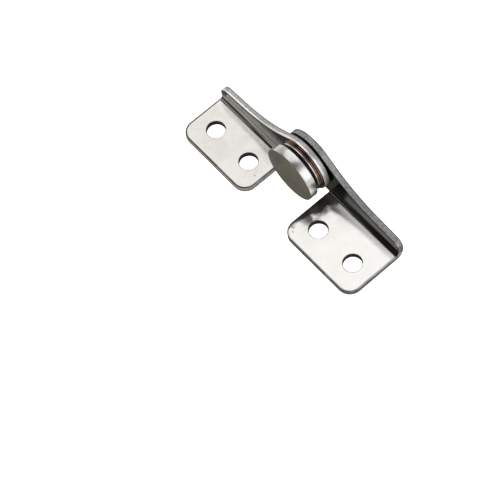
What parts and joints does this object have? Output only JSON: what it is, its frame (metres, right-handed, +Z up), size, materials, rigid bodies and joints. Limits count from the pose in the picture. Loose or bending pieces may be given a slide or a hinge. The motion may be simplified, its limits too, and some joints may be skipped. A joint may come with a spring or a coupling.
{
  "type": "friction hinge",
  "caption": "Friction hinge of bent steel leaves with screw holes, turning on a riveted pin with a broad head, disc springs and friction washers.",
  "frame": {"origin": "on the mounting plane of the leaves (undersides at Z = 0), under the pivot axis, half way between the plates' free edges and the pin's riveted end", "axes": "+X from leaf A to leaf B, +Y along the pivot axis from the pin's head to its riveted end, +Z up from the mounting plane"},
  "size_m": [0.0534, 0.0162, 0.0143],
  "materials": {
    "leaf_steel": "satin rolled stainless sheet with rounded sheared edges",
    "pin_steel": "turned stainless bar, fine turning marks",
    "spring_steel": "dark hardened spring steel",
    "washer_steel": "bright ground steel",
    "washer_bronze": "brown phosphor bronze, lightly greased"
  },
  "bodies": {
    "leaf_a_side": {"leaf_a": "leaf_steel"},
    "leaf_b_side": {"leaf_b": "leaf_steel", "pivot_pin": "pin_steel", "disc_spring_head_side": "spring_steel", "disc_spring_ear_side": "spring_steel", "pressure_washer": "washer_steel", "friction_washer_outer": "washer_bronze", "brake_disc": "washer_steel", "friction_washer_inner": "washer_bronze", "ear_washer": "washer_bronze"}
  },
  "joints": [
    {"name": "leaf_fold", "type": "hinge", "parent": "leaf_a_side", "child": "leaf_b_side", "pos_m": [0, 0, 0.0077], "axis": [0, -1, 0], "range_deg": [-70, 180]}
  ]
}
